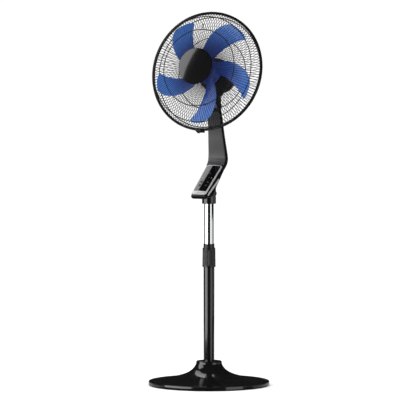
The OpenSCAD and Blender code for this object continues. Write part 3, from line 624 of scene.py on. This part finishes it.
def arm_body():
    """The control head and the neck as one channel along the arm, closed by a nose and by the block
    under the fork, with the socket below and the two cheeks of the fork above."""
    head = spline(HEAD_SECTIONS, 5)
    head_front = panel_to_side(head[:, [0, 1]])
    head_back = panel_to_side(head[:, [0, 2]])
    neck_front, neck_back = spline(FRONT_LINE, 6), spline(BACK_LINE, 6)
    inner_front = neck_front + (neck_back - neck_front) * COVER_SHARE
    solid = Shells()
    front = np.concatenate([head_front, inner_front])
    back = np.concatenate([head_back, neck_back])
    hollow = slice(12, len(front) - 3)
    solid.grid(sections(front[hollow], back[hollow], 0.5, BACK_ROUND, wall=WALL))
    solid.grid(sections(head_front[:14], head_back[:14], 2.2, 4.5 + 0 * head_front[:14, :1]))
    top_front = np.concatenate([inner_front[-7:-3], neck_front[-4:]])
    top_back = np.concatenate([neck_back[-7:-3], neck_back[-4:]])
    solid.grid(sections(top_front, top_back, 2.0, BACK_ROUND))
    rim = softened([[CHROME_R + 0.1, SOCKET_FOOT], [SOCKET_R, SOCKET_FOOT], [SOCKET_R, SOCKET_TOP],
                    [CHROME_R + 0.1, SOCKET_TOP]], 1.6)
    solid.grid(turned(rim, 96), wrap=(True, True))
    for side in (-1, 1):
        solid.grid(fork_cheek(side), wrap=(True, True))
    solid.piece("arm_body", "mast", "black_gloss", finishes["black_gloss"], ["arm_shell"])


def fork_cheek(side):
    """A cheek round the tilt bolt: at angle a its edge is 17 mm out, or where that ray meets the neck's
    front, back or foot; the rows run from the bolt hole over the inner face, the rounded edge and the
    outer face into the counterbore."""
    a = np.arange(96) / 96 * TURN
    down = np.clip(-np.sin(a), 1e-6, 1)
    sideways = np.maximum(np.abs(np.cos(a)), 1e-6)
    edge = np.where(np.sin(a) >= 0, EAR_R, np.minimum(EAR_R / sideways, CHEEK_FOOT / down))
    hole, bore, floor_x = 4.1, 8.5, 14.5
    rows = []
    for x, r in [(SLOT_HALF, hole), (SLOT_HALF, edge - 0.5), (SLOT_HALF + 0.5, edge), (-1.6, edge),
                 (-0.5, edge - 0.45),
                 (0, edge - 1.6), (0, bore + 0.5), (-0.5, bore), (floor_x, bore), (floor_x, hole)]:
        y = TILT_Y + r * np.cos(a)
        z = TILT_Z + r * np.sin(a)
        out = arm_half_width(z) + x if x <= 0 else x + 0 * z
        rows.append(np.stack([side * out, y, z], -1))
    return np.stack(rows)


def neck_front():
    """The satin cover on the front of the neck: a shallow strip that follows the front line."""
    front, back = spline(FRONT_LINE, 6), spline(BACK_LINE, 6)
    keep = slice(2, int(len(front) * COVER_TOP) + 3)
    behind = front + (back - front) * (COVER_SHARE - 0.012)
    strip = sections(front[keep], behind[keep], 2.4, 0.3, narrow=0.35)
    Shells().grid(strip).piece("neck_front", "mast", "grey_satin", finishes["grey_satin"], ["neck_cover"])


PANEL_HALF, PANEL_CROWN = 83, 150


def panel_outline(inset, low, high, radius, along=10, round_steps=6):
    """A rounded trapezium: its half width runs from 28.5 to 32 mm up the slope; its corners are quarter
    circles and its edges have evenly spaced points."""
    quarter = np.linspace(0, math.pi / 2, round_steps + 1)
    loop = []
    centres = [(1, high - radius), (-1, high - radius), (-1, low + radius), (1, low + radius)]
    for k, (side, y) in enumerate(centres):
        a = quarter + k * math.pi / 2
        at = y + radius * np.sin(a)
        half = 28.5 + 3.5 * (PANEL_HALF + at) / (2 * PANEL_HALF) - inset
        loop.append(np.stack([side * (half - radius) + radius * np.cos(a), at], -1))
    out = []
    for arc, following in zip(loop, loop[1:] + loop[:1]):
        t = (np.arange(1, along) / along)[:, None]
        out += [arc, arc[-1] + (following[0] - arc[-1]) * t]
    return np.concatenate(out)


def crowned(xy, z):
    """Lets a height fall off by x^2 / (2 crown) across the panel."""
    return np.concatenate([xy, (z - xy[:, :1] ** 2 / (2 * PANEL_CROWN))], -1)


def bezel_frame():
    """The silver frame: its outline is carried round a low rounded section that follows the crown, wide
    at the lip."""
    outer = panel_outline(0, -PANEL_HALF, PANEL_HALF, 6.5)
    rows = [np.concatenate([outer, 0 * outer[:, :1] - 3.9], -1)]
    for inset, z in [(0, 1.2), (0.25, 2.0), (0.8, 2.6), (1.5, 2.85)]:
        edge = panel_outline(inset, inset - PANEL_HALF, PANEL_HALF - inset, 6.5 - inset * 0.8)
        rows.append(crowned(edge, z))
    inner_low, inner_high = 14 - PANEL_HALF, PANEL_HALF - 4
    for inset, z in [(2.8, 2.9), (3.3, 2.75), (3.5, 2.4)]:
        drop = 3.5 - inset
        rows.append(crowned(panel_outline(inset, inner_low - drop, inner_high + drop, 5), z))
    last = panel_outline(3.5, inner_low, inner_high, 5)
    rows.append(np.concatenate([last, 0 * last[:, :1] - 3.9], -1))
    shell = Shells().grid(np.stack(rows), wrap=(True, True))
    shell.piece("bezel_frame", "mast", "silver", finishes["silver"], ["panel_bezel"], place=on_panel)


def side_strips():
    """A bright strip on each side of the control head, from its nose up to the widening."""
    outline = softened([[-71, 702], [-69, 710], [12, 759], [20, 760], [16, 751], [-64, 702]], 3)
    centre = outline.mean(axis=0)
    shells = Shells()
    for side in (-1, 1):
        rows = []
        for proud, shrink in [(-0.6, 0), (0.45, 0), (0.75, 0.35), (0.8, 0.9)]:
            edge = outline - unit(outline - centre) * shrink
            x = side * (arm_half_width(edge[:, 1]) + proud)
            rows.append(np.concatenate([x[:, None], edge], -1))
        shells.grid(np.stack(rows))
    shells.piece("side_strips", "mast", "silver", finishes["silver"], ["side_trim"])


# ---------------------------------------------------------------------- guard

GUARD_WIRES, WIRE_R, HOOP_R = 124, 1.0, 1.7
FRONT_WIRE = [[56, 95.7], [100, 88], [142.7, 73], [172, 60], [197.6, 43], [209, 27], [213, 10], [213.9, 2.8]]
REAR_WIRE = [[44, -48.6], [90, -48], [135, -46], [172, -43.5], [195, -36], [207, -22], [212.4, -10],
             [213.9, -2.8]]
BADGE_R, RING_R = 67, 222


def cage(name, wire, hoops, plate, node):
    """Radial wires, each a thin tube along the same curve of radius and depth, turned by even steps;
    hoops welded to them; and the stamped plate in the middle."""
    path = spline(wire, 2)
    path = np.stack([path[:, 0], 0 * path[:, 0], path[:, 1]], -1)
    wires = round_about(tube(path, WIRE_R, 5, across=(0, 1, 0)), GUARD_WIRES)
    shells = Shells()
    for one in wires:
        shells.grid(one)
    for r, d, thick in hoops:
        shells.grid(tube(circle_path(r, d), thick, 8, closed=True), wrap=(True, True))
    shells.grid(turned(softened(plate, 0.7), 128), wrap=(True, True))
    shells.piece(name, "head", "wire_black", finishes["wire_black"], [node], place=on_shaft)


def guard():
    cage("front_cage", FRONT_WIRE, [(214.5, 2.6, 2), (196, 41.1, HOOP_R), (141.8, 70.5, HOOP_R)],
         [[50, 91], [62, 91], [62, 94.4], [50, 94.4]], "front_guard")
    cage("rear_cage", REAR_WIRE, [(214.5, -2.6, 2), (204.9, -20.5, HOOP_R), (134.8, -43.4, HOOP_R)],
         [[24.1, -52], [50, -52], [50, -49.4], [24.1, -49.4]], "rear_guard")
    ring = softened([[RING_R - 5.4, -5.4], [RING_R - 1, -5.4], [RING_R, -3], [RING_R, 3], [RING_R - 1, 5.4],
                     [RING_R - 5.4, 5.4], [RING_R - 5.4, 4.8], [RING_R - 3.6, 4.8], [RING_R - 3.6, -4.8],
                     [RING_R - 5.4, -4.8]], 1.2)
    shell = Shells().grid(turned(ring, 256), wrap=(True, True))
    shell.piece("trim_ring", "head", "black_gloss", finishes["black_gloss"], ["guard_ring"], place=on_shaft)
    r = np.linspace(0, BADGE_R - 1.2, 24)
    face = np.stack([r, 106.5 - 5.0 * (r / BADGE_R) ** 2], -1)
    edge = spline([[BADGE_R - 1.2, 101.6], [BADGE_R - 0.3, 100.9], [BADGE_R, 99.8], [BADGE_R - 0.4, 97.4],
                   [BADGE_R - 1.5, 97]], 4)
    badge = np.concatenate([face, edge, [[0, 97]]])
    shell = Shells().grid(turned(badge, 128), caps=False)
    shell.piece("badge_cap", "head", "black_gloss", finishes["black_gloss"], ["badge"], place=on_shaft)


def guard_catch():
    """The sprung clip that holds the halves: a bent plate of even thickness on its hinge wire, with a
    thumb tab."""
    y = -RING_R - 3
    bend = spline([[y + 6, 24.2], [y + 1.5, 24.3], [y - 0.9, 22.8], [y - 1.4, 18], [y - 0.6, 9],
                   [y - 0.8, 5.4]], 5)
    tab = spline([[y - 1, 16.2], [y - 4, 15.8], [y - 7, 16.2], [y - 8.6, 17]], 4)
    shells = Shells()
    for line, thick, half in [(bend, 0.7, 10.4), (tab, 0.6, 5)]:
        along = unit(np.gradient(line, axis=0))
        across = np.stack([-along[:, 1], along[:, 0]], -1) * thick
        loop = np.concatenate([line + across, (line - across)[::-1]])
        shells.grid(np.stack([np.concatenate([0 * loop[:, :1] + x, loop], -1) for x in (-half, half)]))
    pin = np.array([[-16, y - 0.6, 6.5], [0, y - 0.6, 6.5], [16, y - 0.6, 6.5]])
    shells.grid(tube(pin, 1.1, 12, across=(0, 1, 0)))
    shells.piece("clip_lever", "clip", "black_matte", finishes["black_matte"], ["guard_clip"],
                 place=on_shaft)
    hook = spline([[0, 147, 76.4], [0, 153, 73.8], [0, 159.6, 70.6], [0, 162, 71.8], [0, 161.8, 75.5]], 4)
    shell = Shells().grid(tube(hook, 1.3, 10, across=(1, 0, 0)))
    shell.piece("hook_wire", "head", "wire_black", finishes["wire_black"], ["top_hook"], place=on_shaft)


# ---------------------------------------------------------------------- blades

BLADES, BLADE_ANGLE, HUB_R, BLADE_R, HUB_FRONT, HUB_REAR = 5, 51.8, 45, 197, 36, -26


def blade_grid(spans=26, loop=36):
    """One blade: at share t of its span and u of its chord, the angle runs from 9.9 - 22.5t to 53.6 -
    36t - 5t^2 degrees, the depth is 18 + 27(u - 1/2) + 7u(1 - u), and the thickness swells from a round
    edge to 2.2 mm; the tip's corners are drawn in by 9 mm."""
    t = np.linspace(0, 1, spans)[:, None]
    a = np.arange(loop)[None] / loop * TURN
    u = 0.5 - 0.5 * np.cos(a) + 0 * t
    swell = np.sign(np.sin(a)) * np.abs(np.sin(a)) ** 0.6
    thin = np.sqrt(np.clip((1 - t) / 0.012, 0.02, 1))
    corner = 9 * (np.maximum(t - 0.8, 0) / 0.2) ** 2 * np.abs(2 * u - 1) ** 4
    r = HUB_R - 1.5 + (BLADE_R - HUB_R + 1.5) * t - corner
    low = 9.9 - 22.5 * t
    angle = np.radians(low + (53.6 - 36 * t - 5 * t ** 2 - low) * u)
    depth = 18 + 27 * (u - 0.5) + 7 * u * (1 - u) + 1.1 * swell * thin
    return np.stack([r * np.cos(angle), r * np.sin(angle), depth], -1)


def blade_set():
    """Five blades round a shell hub with a boss and six ribs inside."""
    shells = Shells()
    for one in round_about(blade_grid(), BLADES, math.radians(BLADE_ANGLE)):
        shells.grid(one)
    hub = softened([[0.01, HUB_FRONT], [30, HUB_FRONT], [40, HUB_FRONT - 2.6], [HUB_R, HUB_FRONT - 9.5],
                    [HUB_R, HUB_REAR], [HUB_R - 2.2, HUB_REAR], [HUB_R - 2.2, HUB_FRONT - 10.5],
                    [38.5, HUB_FRONT - 5], [30, HUB_FRONT - 2.6], [0.01, HUB_FRONT - 2.6]], 3.0)
    shells.grid(turned(hub, 128), wrap=(True, True))
    boss = softened([[4.1, -32], [10, -32], [10, HUB_FRONT - 2], [4.1, HUB_FRONT - 2]], 0.6)
    shells.grid(turned(boss, 48), wrap=(True, True))
    rib = np.array([[[8, s, 0], [HUB_R - 1, s, 0], [HUB_R - 1, s, HUB_FRONT - 10], [30, s, HUB_FRONT - 2.5],
                     [8, s, HUB_FRONT - 2.5]] for s in (-1.0, 1.0)])
    for one in round_about(rib, 6):
        shells.grid(one)
    shells.piece("blade_set", "rotor", "blade_blue", finishes["blade_blue"], ["fan_blades"], place=on_shaft)


def spinner_nut():
    """The blades' nut: a domed cap whose wall swells in eight grips."""
    profile = spline([[12.6, 0.2], [12.9, 2], [12.9, 8.5], [12.2, 11.4], [9.6, 13.8], [5, 14.8], [0, 15]], 5)
    a = np.arange(96) / 96 * TURN
    grip = 0.5 + 0.5 * np.cos(8 * a)
    hold = np.clip((12 - profile[:, 1]) / 4, 0, 1) * np.clip((profile[:, 1] - 1) / 2, 0, 1)
    r = profile[:, :1] - 1.2 * hold[:, None] * grip[None]
    wall = np.stack([r * np.cos(a), r * np.sin(a), HUB_FRONT + profile[:, 1:] + 0 * r], -1)
    foot = turned([[4.1, HUB_FRONT + 8], [4.1, HUB_FRONT + 0.2]], 96)
    top = turned([[0, HUB_FRONT + 8]], 96)
    shell = Shells().grid(np.concatenate([top, foot, wall]), caps=False)
    shell.piece("spinner_nut", "rotor", "black_gloss", finishes["black_gloss"], ["blade_nut"],
                place=on_shaft)


# ---------------------------------------------------------------------- the build

camera()
studio()
base_dome()
column_tubes()
collar_grip()
arm_body()
neck_front()
bezel_frame()
side_strips()
guard()
guard_catch()
blade_set()
spinner_nut()
dress_frame()
